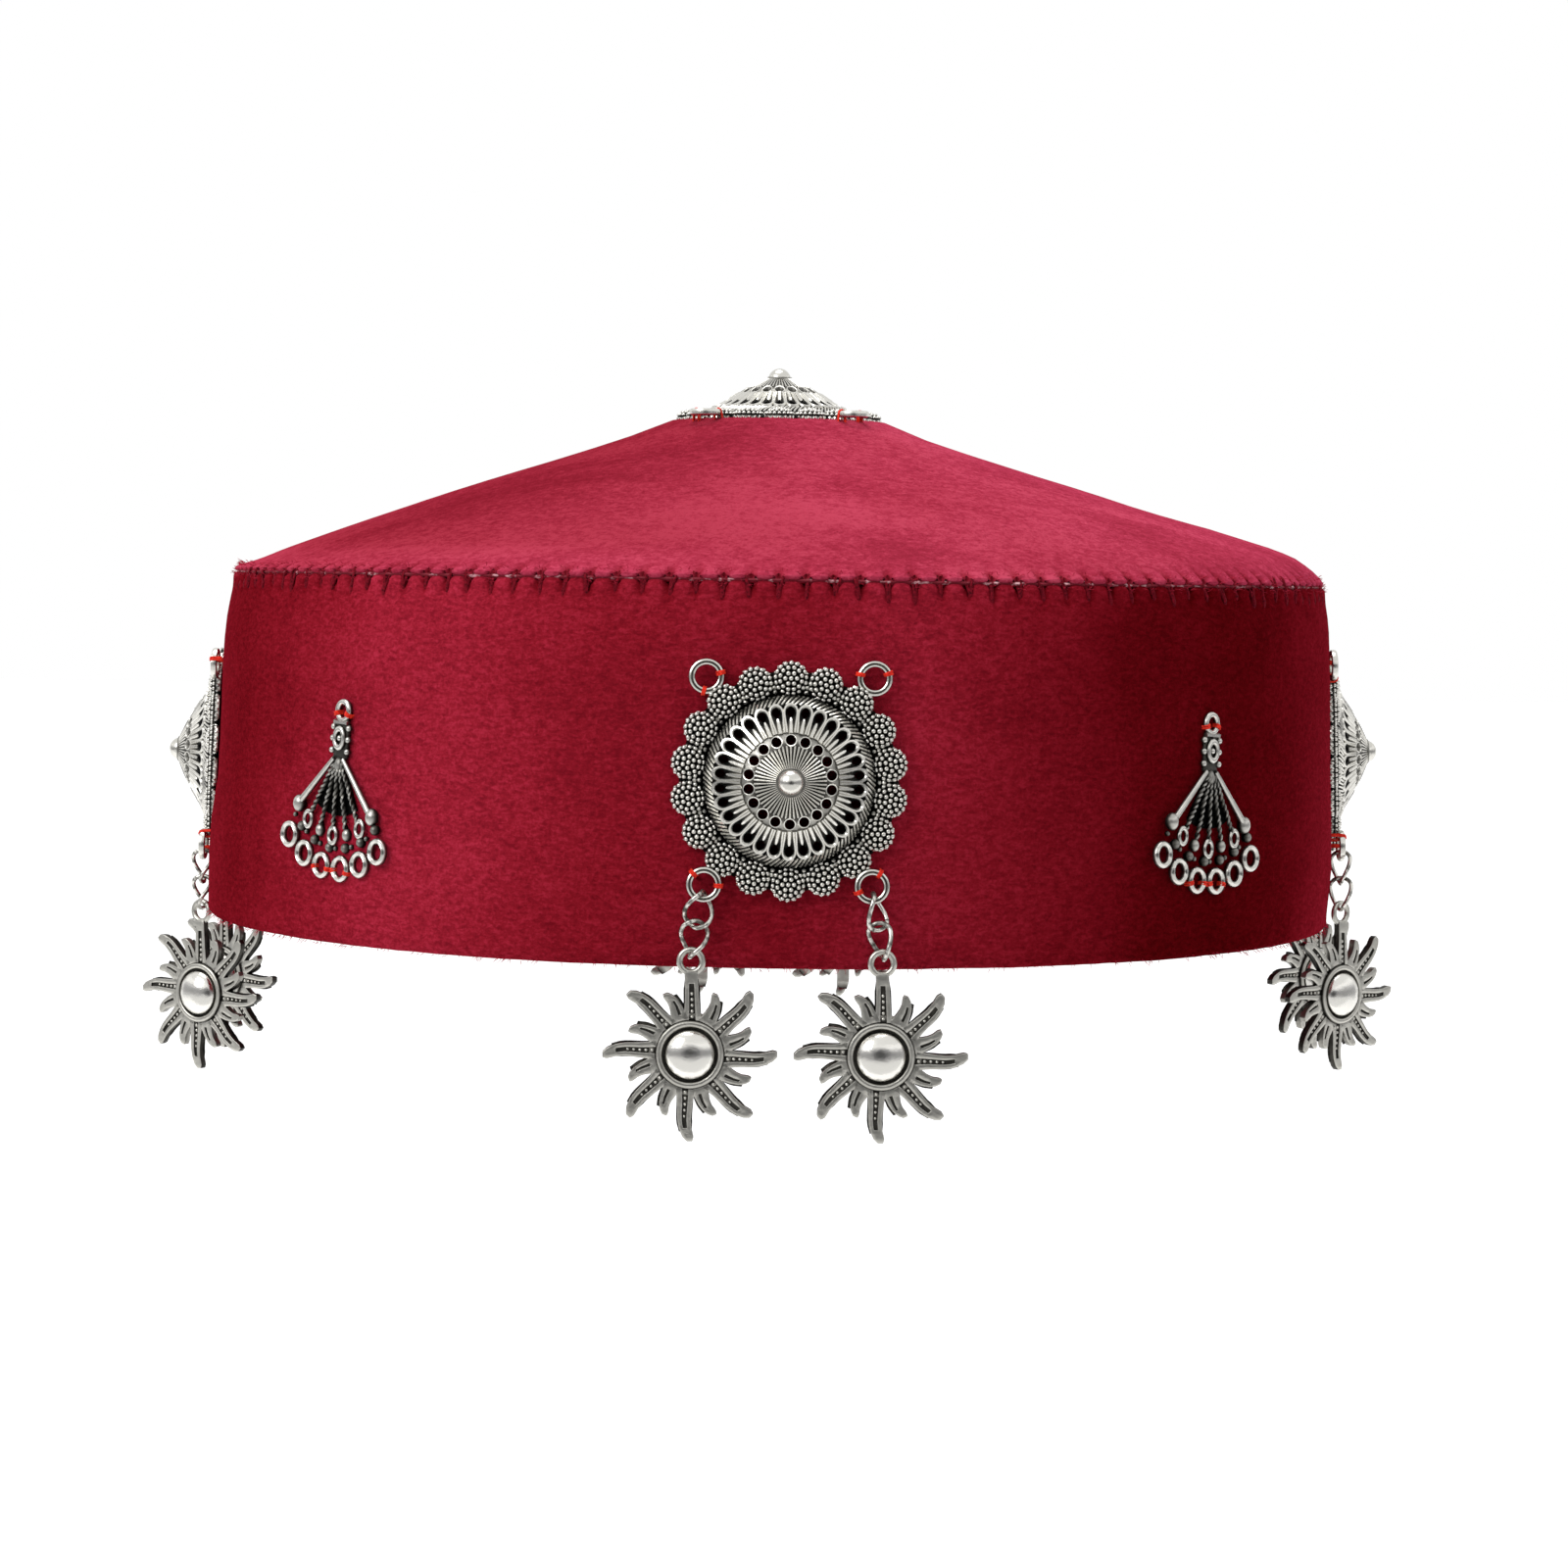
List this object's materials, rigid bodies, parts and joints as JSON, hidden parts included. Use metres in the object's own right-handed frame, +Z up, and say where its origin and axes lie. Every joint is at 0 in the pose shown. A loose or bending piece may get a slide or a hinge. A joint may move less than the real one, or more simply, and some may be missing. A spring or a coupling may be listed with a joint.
{
  "type": "kazakh velvet hat with silver medallions and hanging sun pendants",
  "caption": "Round velvet hat with an upright band and a low conical crown, cast medallions, fan charms and sun pendants that swing below its rim.",
  "frame": {"origin": "middle of the head opening, in the plane of the band's lower rim", "axes": "+Z up along the hat's axis, -Y to the front, +X to the right of someone who faces the hat's front"},
  "size_m": [0.2118, 0.2064, 0.1179],
  "materials": {
    "crown_velvet": "crimson cut-pile velvet on stiff felt",
    "band_velvet": "deep crimson cut-pile velvet on stiff felt",
    "medallion_silver": "antique silver plate over cast zinc alloy, bright on the high places and black in the recesses",
    "fan_silver": "antique silver plate over cast zinc alloy, bright on the high places and black in the recesses",
    "link_silver": "silver-plated twisted wire",
    "sun_silver": "antique silver plate over cast zinc alloy, bright on the high places and black in the recesses"
  },
  "bodies": {
    "hat": {"band": "band_velvet", "crown": "crown_velvet", "medallion_top": "medallion_silver", "medallion_front": "medallion_silver", "medallion_right": "medallion_silver", "medallion_back": "medallion_silver", "medallion_left": "medallion_silver", "fan_front_right": "fan_silver", "fan_back_right": "fan_silver", "fan_back_left": "fan_silver", "fan_front_left": "fan_silver", "link_front_left_upper": "link_silver", "link_front_left_lower": "link_silver", "link_front_right_upper": "link_silver", "link_front_right_lower": "link_silver", "link_right_left_upper": "link_silver", "link_right_left_lower": "link_silver", "link_right_right_upper": "link_silver", "link_right_right_lower": "link_silver", "link_back_left_upper": "link_silver", "link_back_left_lower": "link_silver", "link_back_right_upper": "link_silver", "link_back_right_lower": "link_silver", "link_left_left_upper": "link_silver", "link_left_left_lower": "link_silver", "link_left_right_upper": "link_silver", "link_left_right_lower": "link_silver"},
    "front_left_pendant": {"sun_front_left": "sun_silver"},
    "front_right_pendant": {"sun_front_right": "sun_silver"},
    "right_left_pendant": {"sun_right_left": "sun_silver"},
    "right_right_pendant": {"sun_right_right": "sun_silver"},
    "back_left_pendant": {"sun_back_left": "sun_silver"},
    "back_right_pendant": {"sun_back_right": "sun_silver"},
    "left_left_pendant": {"sun_left_left": "sun_silver"},
    "left_right_pendant": {"sun_left_right": "sun_silver"}
  },
  "joints": [
    {"name": "front_left_swing", "type": "hinge", "parent": "hat", "child": "front_left_pendant", "pos_m": [-0.01195, -0.0957, 0.00306], "axis": [-0.9998, -0.0209, 0], "range_deg": [-12, 60]},
    {"name": "front_right_swing", "type": "hinge", "parent": "hat", "child": "front_right_pendant", "pos_m": [0.01595, -0.09512, 0.00306], "axis": [-0.9998, -0.0209, 0], "range_deg": [-12, 60]},
    {"name": "right_left_swing", "type": "hinge", "parent": "hat", "child": "right_left_pendant", "pos_m": [0.09541, -0.01395, 0.00417], "axis": [-0.766, -0.6428, 0], "range_deg": [-12, 18]},
    {"name": "right_right_swing", "type": "hinge", "parent": "hat", "child": "right_right_pendant", "pos_m": [0.09541, 0.01395, 0.00417], "axis": [-0.7071, -0.7071, 0], "range_deg": [-12, 18]},
    {"name": "back_left_swing", "type": "hinge", "parent": "hat", "child": "back_left_pendant", "pos_m": [0.01395, 0.09543, 0.00306], "axis": [1, 0, 0], "range_deg": [-12, 60]},
    {"name": "back_right_swing", "type": "hinge", "parent": "hat", "child": "back_right_pendant", "pos_m": [-0.01395, 0.09543, 0.00306], "axis": [1, 0, 0], "range_deg": [-12, 60]},
    {"name": "left_left_swing", "type": "hinge", "parent": "hat", "child": "left_left_pendant", "pos_m": [-0.09547, 0.01395, 0.00166], "axis": [-0.766, 0.6428, 0], "range_deg": [-15, 30]},
    {"name": "left_right_swing", "type": "hinge", "parent": "hat", "child": "left_right_pendant", "pos_m": [-0.09547, -0.01395, 0.00166], "axis": [-0.829, 0.5592, 0], "range_deg": [-15, 30]}
  ]
}
